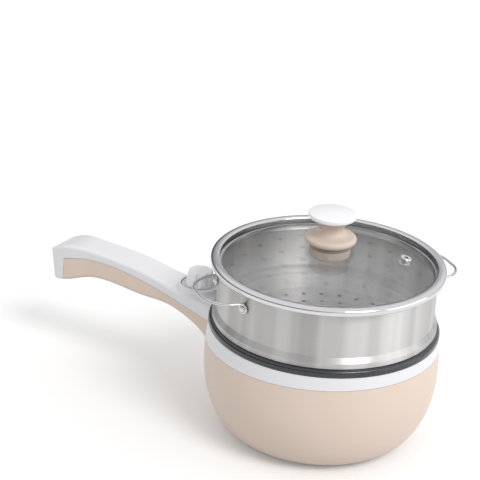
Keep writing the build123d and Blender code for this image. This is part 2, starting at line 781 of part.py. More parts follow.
# ==== Knob and its shaft, which turn together ================================================
knob_bottom = dial_floor + dial_ring_thickness + knob_float
knob_top = knob_bottom + knob_height
shaft_foot = switch_top - switch_height + pin_height
shaft_top = knob_top - knob_round - casing_wall / 2
knob_lean = math.degrees(math.atan((knob_base_radius - knob_top_radius) / knob_height))
flute_place = (knob_base_radius + knob_top_radius) / 2 + knob_flute_radius - knob_flute_depth
with BuildPart() as control_knob:
    with BuildSketch(Plane.XZ) as knob_profile:
        with BuildLine():
            Polyline(
                (dial_x, knob_bottom),
                (dial_x + knob_base_radius, knob_bottom),
                (dial_x + knob_top_radius, knob_top),
                (dial_x, knob_top),
                close=True,
            )
        make_face()
        fillet(knob_profile.vertices().group_by(Axis.Y)[-1].sort_by(Axis.X)[-1], knob_round)
    revolve(axis=dial_axis)
    with Locations((dial_x, 0, knob_bottom + knob_height / 2 + knob_skirt)):
        with PolarLocations(flute_place, knob_flutes, start_angle=180 / knob_flutes):
            Cylinder(
                knob_flute_radius,
                knob_height,
                rotation=(0, -knob_lean, 0),
                mode=Mode.SUBTRACT,
            )
    with Locations((dial_x, 0, knob_bottom)):
        Cylinder(knob_cavity_radius, 2 * knob_cavity_height, mode=Mode.SUBTRACT)
    with BuildSketch(Plane.XY.offset(knob_bottom)):
        with Locations((dial_x, 0)):
            Circle(shaft_radius)
        with Locations((dial_x + shaft_radius, 0)):
            Rectangle(shaft_flat * 2, shaft_radius * 2, mode=Mode.SUBTRACT)
    extrude(amount=shaft_top - knob_bottom, mode=Mode.SUBTRACT)
control_knob.part.label = "control_knob"
export_step(control_knob.part, "parts/control_knob.step")

with BuildPart() as switch_shaft:
    with BuildSketch(Plane.XY.offset(shaft_foot)):
        with Locations((dial_x, 0)):
            Circle(shaft_radius)
    extrude(amount=shaft_top - shaft_foot)
    with Locations((dial_x + shaft_radius, 0, knob_bottom + knob_cavity_height)):
        Box(
            shaft_flat * 2,
            shaft_radius * 2,
            knob_height,
            align=(Align.CENTER, Align.CENTER, Align.MIN),
            mode=Mode.SUBTRACT,
        )
switch_shaft.part.label = "switch_shaft"
export_step(switch_shaft.part, "parts/switch_shaft.step")

# ==== Inlet in the end cap ===================================================================
pin_places = ((-pin_spacing, -pin_offset), (0, pin_offset), (pin_spacing, -pin_offset))
pin_root = handle_reach - inlet_depth - pin_height
with BuildPart() as inlet_pins:
    with BuildSketch(Plane.YZ.offset(-pin_root)):
        with Locations(*[(y, inlet_middle + z) for y, z in pin_places]):
            Rectangle(pin_width, pin_height)
    extrude(amount=-(pin_height + inlet_floor + pin_length))
    chamfer(inlet_pins.faces().sort_by(Axis.X)[:3].edges(), pin_chamfer)
inlet_pins.part.label = "inlet_pins"
export_step(inlet_pins.part, "parts/inlet_pins.step")

with BuildPart() as inlet_housing:
    add(inlet_block(inlet_width, inlet_height, handle_reach - inlet_depth, far_reach))
    add(
        inlet_block(
            inlet_width - 2 * inlet_wall,
            inlet_height - 2 * inlet_wall,
            handle_reach - inlet_depth + inlet_floor,
            far_reach,
        ),
        mode=Mode.SUBTRACT,
    )
    add(handle_outer, mode=Mode.INTERSECT)
    add(inlet_pins.part, mode=Mode.SUBTRACT)
inlet_housing.part.label = "inlet_housing"
export_step(inlet_housing.part, "parts/inlet_housing.step")

# ==== Screws that hold the handle's two halves together ======================================
with BuildPart() as handle_screws:
    with Locations(*[(-reach, 0, handle_screw_seat) for reach in screw_reaches]):
        Cylinder(
            screw_pilot_radius,
            post_split + screw_bite - handle_screw_seat - screw_head_inset,
            align=(Align.CENTER, Align.CENTER, Align.MIN),
        )
        Cylinder(
            tower_head_radius - fit_gap,
            handle_screw_head,
            align=(Align.CENTER, Align.CENTER, Align.MAX),
        )
handle_screws.part.label = "handle_screws"
export_step(handle_screws.part, "parts/handle_screws.step")

# ==== Wires: inlet to switch through the grip, switch to heater down the bowl's wall =========
wire_height = post_split - wire_core
bowl_inside = wall_points(body_radius - casing_wall, base_radius, floor_gap + casing_wall)
wall_middle = Bezier(*[((a + c) / 2, (b + d) / 2) for (a, b), (c, d) in zip(bowl_inside, pot_outside)])
with BuildPart() as supply_wires:
    for side in (-1, 1):
        lane = side * (tower_radius + wire_lane)
        with BuildLine() as supply_path:
            FilletPolyline(
                (-pin_root, lane, inlet_middle - pin_offset),
                (-handle_reach + inlet_depth + wire_turn, lane, inlet_middle - pin_offset),
                (-handle_crest_reach, lane, wire_height),
                (dial_x - switch_length / 2, lane, wire_height),
                radius=wire_bend,
            )
        with BuildSketch(Plane(origin=supply_path.line @ 0, z_dir=supply_path.line % 0)):
            Circle(wire_core)
        sweep()
supply_wires.part.label = "supply_wires"
export_step(supply_wires.part, "parts/supply_wires.step")

with BuildPart() as heater_wires:
    for side in (-1, 1):
        lane = side * gap_y
        entry = Vector((wall_middle @ 1).X, handle_throat_height + casing_wall + wire_rise)
        stops = [entry, *[wall_middle @ share for share in wire_stops]]
        drop = [(-math.sqrt(stop.X**2 - gap_y**2), lane, stop.Y) for stop in stops]
        with BuildLine() as heater_path:
            FilletPolyline(
                (dial_x + switch_length / 2, side * tower_radius, wire_height - wire_bend),
                *drop,
                (gap_x - terminal_length - wire_lead, lane, element_height),
                (gap_x - terminal_length, lane, element_height),
                radius=wire_bend,
            )
        with BuildSketch(Plane(origin=heater_path.line @ 0, z_dir=heater_path.line % 0)):
            Circle(wire_core)
        sweep()
heater_wires.part.label = "heater_wires"
export_step(heater_wires.part, "parts/heater_wires.step")

# ==== Steamer: drawn sheet wall with flare, bead, skirt and hem ==============================
skirt_foot = steamer_seat - steamer_skirt_depth
bead_top = steamer_seat + steamer_bead_height
with BuildPart() as steamer_basket:
    with BuildSketch(Plane.XZ) as sheet_profile:
        with BuildLine():
            Polyline(
                (steamer_wall_radius, steamer_rim - steamer_rim_roll),
                (steamer_wall_radius, bead_top + steamer_flare_height),
                (steamer_bead_radius, bead_top),
                (steamer_bead_radius, steamer_seat),
                (steamer_skirt_radius, steamer_seat),
                (steamer_skirt_radius, skirt_foot),
                (steamer_skirt_radius - hem_width, skirt_foot),
                (steamer_skirt_radius - hem_width, skirt_foot + steamer_sheet),
                (steamer_skirt_radius - steamer_sheet, skirt_foot + steamer_sheet),
                (steamer_skirt_radius - steamer_sheet, steamer_seat + steamer_sheet),
                (steamer_bead_radius - steamer_sheet, steamer_seat + steamer_sheet),
                (steamer_bead_radius - steamer_sheet, bead_top - steamer_sheet / 3),
                (steamer_wall_radius - steamer_sheet, bead_top + steamer_flare_height - steamer_sheet / 3),
                (steamer_wall_radius - steamer_sheet, steamer_rim - steamer_rim_roll),
                close=True,
            )
        make_face()
        corners = sheet_profile.vertices().filter_by(lambda v: v.Y < steamer_rim - 2 * steamer_rim_roll)
        bends = corners.filter_by(lambda v: v.X > steamer_skirt_radius - 2 * steamer_sheet)
        fillet(bends, steamer_sheet / 2)
        with Locations((steamer_wall_radius - steamer_sheet + steamer_rim_roll, steamer_rim - steamer_rim_roll)):
            Circle(steamer_rim_roll)
    revolve(axis=pot_axis)
    with Locations((0, 0, steamer_rim - eye_drop)):
        for azimuth in (loop_azimuth, loop_azimuth + 180):
            with PolarLocations(steamer_wall_radius, 2, azimuth - rivet_angle, 2 * rivet_angle, endpoint=True):
                Cylinder(rivet_radius, 4 * steamer_sheet, rotation=(0, 90, 0), mode=Mode.SUBTRACT)
steamer_basket.part.label = "steamer_basket"
export_step(steamer_basket.part, "parts/steamer_basket.step")

floor_height = skirt_foot + steamer_sheet
floor_radius = steamer_skirt_radius - steamer_sheet - floor_clearance
hole_rows = int((floor_radius - hole_margin) / hole_pitch)
with BuildPart() as steamer_floor:
    add(ring(0, floor_radius, floor_height, floor_height + steamer_sheet))
    with BuildSketch(Plane.XY.offset(floor_height)):
        Circle(hole_radius)
        for row in range(1, hole_rows + 1):
            with PolarLocations(row * hole_pitch, row * hole_ring_count):
                Circle(hole_radius)
    extrude(amount=steamer_sheet, mode=Mode.SUBTRACT)
steamer_floor.part.label = "steamer_floor"
export_step(steamer_floor.part, "parts/steamer_floor.step")


eye_reach = steamer_wall_radius + eye_wire_radius + fit_gap


def wire_handle(azimuth):
    """Bent wire loop with an upright eye at each end, on the steamer's wall at this azimuth."""
    loop_height = steamer_rim - eye_drop + eye_radius + loop_lift
    foot_x = eye_reach * math.cos(math.radians(rivet_angle))
    foot_y = eye_reach * math.sin(math.radians(rivet_angle))
    turned = Plane(origin=(0, 0, loop_height), x_dir=Vector(1, 0, 0).rotate(Axis.Z, azimuth))
    with BuildPart() as form:
        with BuildLine(turned) as loop_path:
            FilletPolyline(
                (foot_x, -foot_y),
                (steamer_wall_radius + loop_stand - wire_radius, -foot_y + loop_shoulder),
                (steamer_wall_radius + loop_stand - wire_radius, foot_y - loop_shoulder),
                (foot_x, foot_y),
                radius=loop_corner_round,
            )
        with BuildSketch(Plane(origin=loop_path.line @ 0, z_dir=loop_path.line % 0)):
            Circle(wire_radius)
        sweep()
        with Locations((0, 0, steamer_rim - eye_drop)):
            with PolarLocations(eye_reach, 2, azimuth - rivet_angle, 2 * rivet_angle, endpoint=True):
                Torus(eye_radius, eye_wire_radius, rotation=(0, 90, 0))
    return form


steamer_handle_left = wire_handle(loop_azimuth + 180)
steamer_handle_left.part.label = "steamer_handle_left"
export_step(steamer_handle_left.part, "parts/steamer_handle_left.step")

steamer_handle_right = wire_handle(loop_azimuth)
steamer_handle_right.part.label = "steamer_handle_right"
export_step(steamer_handle_right.part, "parts/steamer_handle_right.step")

eye_hold = math.sqrt(eye_wire_radius**2 - (eye_radius - rivet_head_radius) ** 2)
rivet_seat = fit_gap + eye_wire_radius + eye_hold + fit_gap / 2
with BuildPart() as rivet:
    Cylinder(rivet_radius, rivet_seat, align=(Align.CENTER, Align.CENTER, Align.MIN))
    Cylinder(rivet_radius, 2 * steamer_sheet)
    with Locations((0, 0, rivet_seat)):
        Cylinder(rivet_head_radius, rivet_head_height, align=(Align.CENTER, Align.CENTER, Align.MIN))
    fillet(rivet.edges().group_by(Axis.Z)[-1], rivet_head_round)
    with Locations((0, 0, -steamer_sheet - fit_gap / 2)):
        Cylinder(rivet_head_radius, rivet_tail, align=(Align.CENTER, Align.CENTER, Align.MAX))
    with Locations((0, 0, -steamer_sheet)):
        Cylinder(rivet_radius, fit_gap * 2)

with BuildPart() as steamer_rivets:
    with Locations((0, 0, steamer_rim - eye_drop)):
        for azimuth in (loop_azimuth, loop_azimuth + 180):
            with PolarLocations(steamer_wall_radius, 2, azimuth - rivet_angle, 2 * rivet_angle, endpoint=True):
                add(rivet.part, rotation=(0, 90, 0))
steamer_rivets.part.label = "steamer_rivets"
export_step(steamer_rivets.part, "parts/steamer_rivets.step")


# ==== Lid: domed glass in a steel band, vent and knob ========================================
def dome_height(radius, offset):
    """Height of the dome's surface, raised along its normal by offset, at this radius."""
    return dome_centre + math.sqrt((dome_radius + offset) ** 2 - radius**2)


def dome_arc(outer_radius, offset):
    """Arc on the dome from outer_radius up to the pot's axis."""
    middle = outer_radius / 2
    return ThreePointArc(
        (outer_radius, dome_height(outer_radius, offset)),
        (middle, dome_height(middle, offset)),
        (0, dome_height(0, offset)),
    )


glass_edge = lid_radius - band_sheet - fit_gap
underside_foot = math.sqrt((dome_radius - glass_thickness) ** 2 - (glass_bottom - dome_centre) ** 2)
with BuildPart() as lid_glass:
    with BuildSketch(Plane.XZ):
        with BuildLine():
            dome_arc(dome_foot_radius, 0)
            Polyline((dome_foot_radius, glass_top), (glass_edge, glass_top), (glass_edge, glass_bottom))
            Line((glass_edge, glass_bottom), (underside_foot, glass_bottom))
            dome_arc(underside_foot, -glass_thickness)
            Line((0, dome_height(0, -glass_thickness)), (0, dome_height(0, 0)))
        make_face()
    revolve(axis=pot_axis)
    Cylinder(screw_radius + fit_gap, 3 * apex, mode=Mode.SUBTRACT)
    with Locations(Location((0, 0, dome_centre), (0, 0, vent_azimuth))):
        with Locations(Location((0, 0, 0), (0, vent_lean, 0))):
            Cylinder(vent_neck_radius, 2 * dome_radius + glass_thickness, mode=Mode.SUBTRACT)
lid_glass.part.label = "lid_glass"
export_step(lid_glass.part, "parts/lid_glass.step")

with BuildPart() as vent_at_apex:
    with BuildSketch(Plane.XZ):
        outside = dome_radius + vent_flange
        inside = dome_radius - glass_thickness - vent_flange
        with BuildLine():
            Polyline(
                (vent_bore, inside),
                (vent_radius, inside),
                (vent_radius, inside + vent_flange - fit_gap),
                (vent_neck_radius, inside + vent_flange - fit_gap),
                (vent_neck_radius, dome_radius),
                (vent_radius, dome_radius),
                (vent_radius, outside - vent_flange / 2),
                (vent_radius - vent_flange / 2, outside),
                (vent_bore, outside),
                close=True,
            )
        make_face()
    revolve(axis=Axis.Z)

with BuildPart() as vent_grommet:
    with Locations(Location((0, 0, dome_centre), (0, 0, vent_azimuth))):
        with Locations(Location((0, 0, 0), (0, vent_lean, 0))):
            add(vent_at_apex.part)
vent_grommet.part.label = "vent_grommet"
export_step(vent_grommet.part, "parts/vent_grommet.step")

band_inner_top = glass_top
band_outer_top = glass_top + band_sheet
with BuildPart() as lid_rim_band:
    with BuildSketch(Plane.XZ) as band_profile:
        with BuildLine():
            Polyline(
                (lid_radius, lid_seat),
                (lid_radius, band_outer_top),
                (dome_foot_radius, band_outer_top),
                (dome_foot_radius, band_inner_top),
                (lid_radius - band_sheet, band_inner_top),
                (lid_radius - band_sheet, lid_seat + band_sheet),
                (lid_skirt_radius - band_sheet, lid_seat + band_sheet),
                (lid_skirt_radius - band_sheet, lid_seat - lid_skirt_depth),
                (lid_skirt_radius, lid_seat - lid_skirt_depth),
                (lid_skirt_radius, lid_seat),
                close=True,
            )
        make_face()
        fillet(band_profile.vertices().group_by(Axis.X)[-1].sort_by(Axis.Y)[-1], band_round)
        fillet(band_profile.vertices().group_by(Axis.X)[-1].sort_by(Axis.Y)[0], band_round / 2)
    revolve(axis=pot_axis)
lid_rim_band.part.label = "lid_rim_band"
export_step(lid_rim_band.part, "parts/lid_rim_band.step")

flange_mid = apex + lid_knob_flange / 2
waist_z = apex + lid_knob_waist_height
neck_z = apex + lid_knob_neck_height
foot_edge = lid_knob_radius - lid_knob_foot_edge
top_edge = lid_knob_radius - lid_knob_top_edge
with BuildPart() as lid_knob:
    with BuildSketch(Plane.XZ) as grip_profile:
        with BuildLine():
            dome_arc(foot_edge, 0)
            Spline(
                (foot_edge, dome_height(foot_edge, 0)),
                (lid_knob_radius, flange_mid),
                (top_edge, apex + lid_knob_flange),
                tangents=((1, lid_knob_foot_slope), (-1, lid_knob_top_slope)),
            )
            Spline(
                (top_edge, apex + lid_knob_flange),
                (lid_knob_waist_radius, waist_z),
                (lid_knob_neck_radius, neck_z),
                tangents=((-1, lid_knob_top_slope), (1, lid_knob_neck_slope)),
            )
            Polyline((lid_knob_neck_radius, neck_z), (0, neck_z), (0, apex))
        make_face()
    revolve(axis=pot_axis)
    with Locations((0, 0, apex)):
        Cylinder(screw_radius, 2 * lid_screw_bite, mode=Mode.SUBTRACT)
lid_knob.part.label = "lid_knob"
export_step(lid_knob.part, "parts/lid_knob.step")

with BuildPart() as lid_knob_cap:
    with BuildSketch(Plane.XZ):
        with BuildLine():
            Polyline((0, neck_z), (lid_cap_radius - lid_cap_lip, neck_z))
            Line((lid_cap_radius - lid_cap_lip, neck_z), (lid_cap_radius, neck_z + lid_cap_lip))
            Line((lid_cap_radius, neck_z + lid_cap_lip), (lid_cap_radius, neck_z + lid_cap_thickness))
            ThreePointArc(
                (lid_cap_radius, neck_z + lid_cap_thickness),
                (lid_cap_radius / 2, neck_z + lid_cap_thickness + lid_cap_crown * 0.75),
                (0, neck_z + lid_cap_thickness + lid_cap_crown),
            )
            Line((0, neck_z + lid_cap_thickness + lid_cap_crown), (0, neck_z))
        make_face()
    revolve(axis=pot_axis)
    crown = lid_knob_cap.faces().sort_by(Axis.Z)[-1]
    fillet(crown.edges().sort_by(SortBy.LENGTH)[-1], lid_cap_lip)
lid_knob_cap.part.label = "lid_knob_cap"
export_step(lid_knob_cap.part, "parts/lid_knob_cap.step")

washer_top = apex - glass_thickness
washer_bottom = washer_top - washer_depth
with BuildPart() as lid_knob_washer:
    with BuildSketch(Plane.XZ) as washer_profile:
        with BuildLine():
            dome_arc(washer_radius, -glass_thickness)
            Line(
                (washer_radius, dome_height(washer_radius, -glass_thickness)),
                (washer_radius, washer_bottom),
            )
            Polyline((washer_radius, washer_bottom), (0, washer_bottom), (0, washer_top))
        make_face()
        fillet(washer_profile.vertices().group_by(Axis.Y)[0].sort_by(Axis.X)[-1], washer_round)
    revolve(axis=pot_axis)
    with Locations((0, 0, washer_bottom)):
        Cylinder(lid_screw_head_radius + fit_gap, 2 * lid_screw_sink, mode=Mode.SUBTRACT)
        Cylinder(screw_radius + fit_gap, 4 * washer_depth, mode=Mode.SUBTRACT)
lid_knob_washer.part.label = "lid_knob_washer"
export_step(lid_knob_washer.part, "parts/lid_knob_washer.step")

with BuildPart() as lid_knob_screw:
    with Locations((0, 0, washer_bottom + lid_screw_sink)):
        Cylinder(
            lid_screw_head_radius,
            lid_screw_head_height,
            align=(Align.CENTER, Align.CENTER, Align.MAX),
        )
        Cylinder(
            screw_radius,
            apex + lid_screw_bite - washer_bottom - lid_screw_sink - screw_head_inset,
            align=(Align.CENTER, Align.CENTER, Align.MIN),
        )
lid_knob_screw.part.label = "lid_knob_screw"
export_step(lid_knob_screw.part, "parts/lid_knob_screw.step")
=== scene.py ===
import math

import bpy
from mathutils import Matrix, Vector


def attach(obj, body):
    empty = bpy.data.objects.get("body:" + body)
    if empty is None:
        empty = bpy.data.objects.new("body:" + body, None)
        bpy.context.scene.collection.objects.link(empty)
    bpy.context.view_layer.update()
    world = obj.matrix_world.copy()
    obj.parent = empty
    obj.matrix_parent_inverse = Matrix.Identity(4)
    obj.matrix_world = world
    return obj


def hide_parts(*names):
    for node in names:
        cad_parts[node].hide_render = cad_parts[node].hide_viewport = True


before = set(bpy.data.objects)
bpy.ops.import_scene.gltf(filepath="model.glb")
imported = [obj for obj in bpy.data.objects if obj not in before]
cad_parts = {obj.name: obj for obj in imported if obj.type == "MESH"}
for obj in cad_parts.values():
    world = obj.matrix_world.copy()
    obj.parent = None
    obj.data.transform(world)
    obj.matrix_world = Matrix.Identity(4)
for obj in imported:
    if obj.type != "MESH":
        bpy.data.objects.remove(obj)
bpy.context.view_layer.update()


# ---- Bowl and lower handle ----------------------------------------------------------------
# The outer skin of the bowl runs on into the lower half of the handle. It is one injection
# moulding in warm beige ABS, with a satin face and the faint ripple of a polished mould.
class Signal:
    """One output in a node tree, so that sums of signals read as plain arithmetic."""

    def __init__(self, nodes, socket):
        self.nodes = nodes
        self.socket = socket

    def work(self, operation, first, second):
        return self.nodes.node("ShaderNodeMath", {"operation": operation}, {0: first, 1: second})

    def __add__(self, other):
        return self.work("ADD", self, other)

    def __radd__(self, other):
        return self.work("ADD", other, self)

    def __sub__(self, other):
        return self.work("SUBTRACT", self, other)

    def __rsub__(self, other):
        return self.work("SUBTRACT", other, self)

    def __mul__(self, other):
        return self.work("MULTIPLY", self, other)

    def __rmul__(self, other):
        return self.work("MULTIPLY", other, self)


class Nodes:
    """A node tree, with one method that adds any node and a few for what recurs here."""

    def __init__(self, tree):
        self.tree = tree

    def node(self, kind, settings=None, sockets=None, output=0):
        made = self.tree.nodes.new(kind)
        for key, value in (settings or {}).items():
            setattr(made, key, value)
        for key, value in (sockets or {}).items():
            self.feed(made.inputs[key], value)
        return Signal(self, made.outputs[output])

    def feed(self, socket, value):
        if isinstance(value, Signal):
            self.tree.links.new(value.socket, socket)
        else:
            socket.default_value = value

    def step(self, value, low, high):
        """Soft step of a value, 0 at low and 1 at high."""
        return self.node(
            "ShaderNodeMapRange",
            {"interpolation_type": "SMOOTHSTEP"},
            {0: value, 1: low, 2: high, 3: 0.0, 4: 1.0},
        )

    def blend(self, share, low, high):
        """Colour between low and high by share."""
        return self.node("ShaderNodeMix", {"data_type": "RGBA"}, {0: share, 6: low, 7: high}, 2)

    def seen(self):
        """1 for what the camera sees straight, in a reflection or through glass, else 0."""
        sight = [self.node("ShaderNodeLightPath", output=kind)
                 for kind in ("Is Camera Ray", "Is Glossy Ray", "Is Transmission Ray")]
        either = self.node("ShaderNodeMath", {"operation": "MAXIMUM"}, {0: sight[0], 1: sight[1]})
        return self.node("ShaderNodeMath", {"operation": "MAXIMUM"}, {0: either, 1: sight[2]})


class Finish(Nodes):
    """A surface finish: one Principled shader and the nodes that feed it."""

    def __init__(self, name):
        self.material = bpy.data.materials.new(name)
        self.material.use_nodes = True
        super().__init__(self.material.node_tree)
        self.shader = self.tree.nodes["Principled BSDF"]
        self.place = self.node("ShaderNodeTexCoord", output="Object")

    def surface(self, levels):
        for key, value in levels.items():
            self.feed(self.shader.inputs[key], value)

    def noise(self, where, scale, detail):
        return self.node("ShaderNodeTexNoise", sockets={"Vector": where, "Scale": scale, "Detail": detail})

    def level(self):
        """Place on the surface without its height, which points out from the pot's axis."""
        return self.node("ShaderNodeVectorMath", {"operation": "MULTIPLY"}, {0: self.place, 1: (1.0, 1.0, 0.0)})

    def grain(self, scale, detail=2.0):
        """Noise from 0 to 1 with this many cells to the metre."""
        return self.noise(self.place, scale, detail)

    def rings(self, scale, detail=3.0):
        """Noise in fine rings about the pot's axis, the marks of a lathe or a brush."""
        radius = self.node("ShaderNodeVectorMath", {"operation": "LENGTH"}, {0: self.level()}, "Value")
        height = self.node("ShaderNodeSeparateXYZ", sockets={0: self.place}, output="Z")
        across = self.node("ShaderNodeCombineXYZ", sockets={"X": radius, "Y": height})
        return self.noise(across, scale, detail)

    def fans(self, scale):
        """Noise that changes only with the direction from the pot's axis."""
        outward = self.node("ShaderNodeVectorMath", {"operation": "NORMALIZE"}, {0: self.level()})
        return self.noise(outward, scale, 2.0)

    def bump(self, height, distance):
        """Normal of a height signal from 0 to 1 that stands this many metres proud."""
        return self.node("ShaderNodeBump", sockets={"Height": height, "Distance": distance, "Strength": 1.0})


def paint(red, green, blue):
    """Linear colour from the numbers of a paint chip, each 0 to 255."""
    chip = [value / 255 for value in (red, green, blue)]
    return tuple(c / 12.92 if c <= 0.04045 else ((c + 0.055) / 1.055) ** 2.4 for c in chip) + (1.0,)


def dress(finish, *nodes):
    for node in nodes:
        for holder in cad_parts[node].material_slots:
            holder.material = finish.material


def moulded(name, pale, deep, roughness, ripple=0.00002):
    """Injection-moulded plastic: a little drift of colour, a soft sheen and a fine mould ripple."""
    finish = Finish(name)
    drift = finish.grain(14.0)
    fine = finish.grain(900.0, 3.0)
    finish.surface({
        "Base Color": finish.blend(drift, deep, pale),
        "Roughness": fine * 0.10 + drift * 0.06 + (roughness - 0.08),
        "Normal": finish.bump(fine, ripple),
        "Coat Weight": 0.12,
        "Coat Roughness": 0.25,
        "Specular IOR Level": 0.4,
    })
    return finish


beige = moulded("beige_moulding", paint(230, 212, 198), paint(226, 207, 192), 0.42)
dress(beige, "outer_shell")

# ---- Rim band and handle cover --------------------------------------------------------------
# The white frame closes the casing: rim band, handle cover, dial turret and end cap in one
# moulding. It is glossier than the bowl and screwed to it from below through the grip.
white = moulded("white_moulding", paint(236, 236, 239), paint(232, 232, 236), 0.32)
dress(white, "top_frame")

# ---- Inner pot ------------------------------------------------------------------------------
# The pot is spun from aluminium and carries a dark non-stick coat, rolled out to a glossy lip
# that lies on the white band.
coat = Finish("non_stick_coat")
cloud = coat.grain(40.0)
spun = coat.rings(900.0)
orange = coat.grain(1400.0, 3.0)
coat.surface({
    "Base Color": coat.blend(cloud, paint(36, 38, 44), paint(46, 48, 55)),
    "Roughness": cloud * 0.06 + orange * 0.08 + 0.20,
    "Normal": coat.bump(spun * 0.4 + orange * 0.6, 0.00002),
    "Coat Weight": 0.35,
    "Coat Roughness": 0.12,
})
dress(coat, "inner_pot")

# ---- Underside ------------------------------------------------------------------------------
# A round cover closes the bowl's foot, with slots that let heat out. The object stands on a
# rubber ring that is pressed into it.
under = moulded("base_moulding", paint(214, 212, 208), paint(206, 204, 199), 0.5, 0.00005)
dress(under, "base_cover")

rubber = Finish("foot_rubber")
dust = rubber.grain(260.0, 4.0)
rubber.surface({
    "Base Color": rubber.blend(dust, paint(40, 40, 42), paint(58, 58, 60)),
    "Roughness": dust * 0.15 + 0.68,
    "Normal": rubber.bump(dust, 0.0001),
})
dress(rubber, "foot_ring")


def metal(name, pale, deep, roughness, scale, spread=0.08):
    """Bare metal with an even grain of small marks."""
    finish = Finish(name)
    marks = finish.grain(scale, 4.0)
    finish.surface({
        "Base Color": finish.blend(marks, deep, pale),
        "Metallic": 1.0,
        "Roughness": marks * spread + roughness,
        "Normal": finish.bump(marks, 0.000004),
    })
    return finish


screw_steel = metal("screw_steel", paint(200, 200, 202), paint(172, 172, 176), 0.28, 700.0)
dress(screw_steel, "handle_screws", "lid_knob_screw")

# ---- Base screws ----------------------------------------------------------------------------
# Three pan-head steel screws hold the cover up to the heater plate. Each head is sunk in a
# well of the cover and has a pressed cross recess.
def draw_out(section, centre=(0.0, 0.0)):
    """Draws the selected outline on through a section's points, each a radius and a height."""
    for (radius, height), (next_radius, next_height) in zip(section, section[1:]):
        bpy.ops.mesh.extrude_region_move(TRANSFORM_OT_translate={"value": (0.0, 0.0, next_height - height)})
        grow = next_radius / radius
        bpy.ops.transform.resize(value=(grow, grow, 1.0), center_override=(*centre, next_height))


screw_section = [
    (0.0016, 0.0180), (0.0016, 0.0035), (0.0032, 0.0035), (0.0032, 0.0026), (0.0031, 0.0023), (0.0029, 0.0021),
    (0.0026, 0.0020),
]
shank_radius, tip_height = screw_section[0]
head_height = screw_section[-1][1]
recess_length, recess_width, recess_reach = 0.0036, 0.0008, 0.0020
screw_circle = 0.031
screw_places = [math.radians(turn) for turn in (90.0, 210.0, 330.0)]

bpy.ops.object.select_all(action="DESELECT")
bpy.ops.mesh.primitive_circle_add(
    vertices=48, radius=shank_radius, fill_type="NGON", location=(0.0, 0.0, tip_height),
)
first_screw = bpy.context.object
bpy.ops.object.transform_apply(location=True)
bpy.ops.object.mode_set(mode="EDIT")
draw_out(screw_section)
bpy.ops.object.mode_set(mode="OBJECT")
for across, along in ((recess_length, recess_width), (recess_width, recess_length)):
    bpy.ops.object.select_all(action="DESELECT")
    bpy.ops.mesh.primitive_cube_add(
        size=1.0, location=(0.0, 0.0, head_height), scale=(across, along, recess_reach),
    )
    punch = bpy.context.object
    bpy.ops.object.transform_apply(location=True, scale=True)
    bpy.context.view_layer.objects.active = first_screw
    recess = first_screw.modifiers.new("recess", "BOOLEAN")
    recess.operation = "DIFFERENCE"
    recess.object = punch
    bpy.ops.object.modifier_apply(modifier=recess.name)
    bpy.data.objects.remove(punch)
bpy.ops.object.select_all(action="DESELECT")
first_screw.select_set(True)
bpy.ops.object.mode_set(mode="EDIT")
bpy.ops.mesh.select_all(action="SELECT")
bpy.ops.mesh.normals_make_consistent(inside=False)
bpy.ops.object.mode_set(mode="OBJECT")
bpy.ops.object.shade_smooth_by_angle(angle=math.radians(35.0))
screws = [first_screw]
for _ in screw_places[1:]:
    bpy.ops.object.duplicate()
    screws.append(bpy.context.object)
for screw, angle in zip(screws, screw_places):
    screw.location = (screw_circle * math.cos(angle), screw_circle * math.sin(angle), 0.0)
    screw.rotation_euler = (0.0, 0.0, angle * 0.7)
    screw.select_set(True)
bpy.ops.object.transform_apply(location=True, rotation=True)
bpy.context.view_layer.objects.active = first_screw
bpy.ops.object.join()
first_screw.name = "base_screws_cross"
first_screw.data.materials.append(screw_steel.material)
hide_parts("base_screws")
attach(first_screw, "pot")

# ---- Heater ---------------------------------------------------------------------------------
# A tubular element is cast into an aluminium plate under the pot. A thermostat and a fuse in
# its clip sit on the plate, and a bright sheet pan below keeps the heat off the cover.
cast = metal("cast_aluminium", paint(206, 206, 208), paint(182, 182, 186), 0.42, 300.0)
dress(cast, "heater_plate")
sheet = metal("shield_sheet", paint(214, 215, 217), paint(196, 197, 200), 0.22, 90.0)
dress(sheet, "heat_shield", "fuse_clip")
sheath = metal("element_sheath", paint(128, 122, 116), paint(96, 90, 86), 0.45, 220.0)
dress(sheath, "heating_element")
phenolic = moulded("thermostat_case", paint(66, 52, 42), paint(54, 42, 34), 0.5)
dress(phenolic, "thermostat")
sleeve = moulded("fuse_sleeve", paint(226, 220, 206), paint(214, 207, 192), 0.6)
dress(sleeve, "thermal_fuse")
silicone = moulded("wire_silicone", paint(206, 196, 178), paint(192, 180, 160), 0.55)
dress(silicone, "heater_wires", "supply_wires")

# ---- Rotary switch --------------------------------------------------------------------------
# The switch hangs under the dial's turret on its brass nut. A ring lines the turret's recess round the knob;
# its pale grey is painted shade, the knob's shadow in the recess.
black = moulded("switch_case", paint(34, 34, 36), paint(26, 26, 28), 0.5)
dress(black, "rotary_switch")
brass = metal("nut_brass", paint(212, 182, 118), paint(188, 158, 96), 0.30, 500.0)
dress(brass, "switch_nut")
# The ring's pale grey is painted shade.
ring_painted_shade = moulded("recess_ring", paint(214, 216, 220), paint(206, 208, 213), 0.35)
dress(ring_painted_shade, "dial_ring")


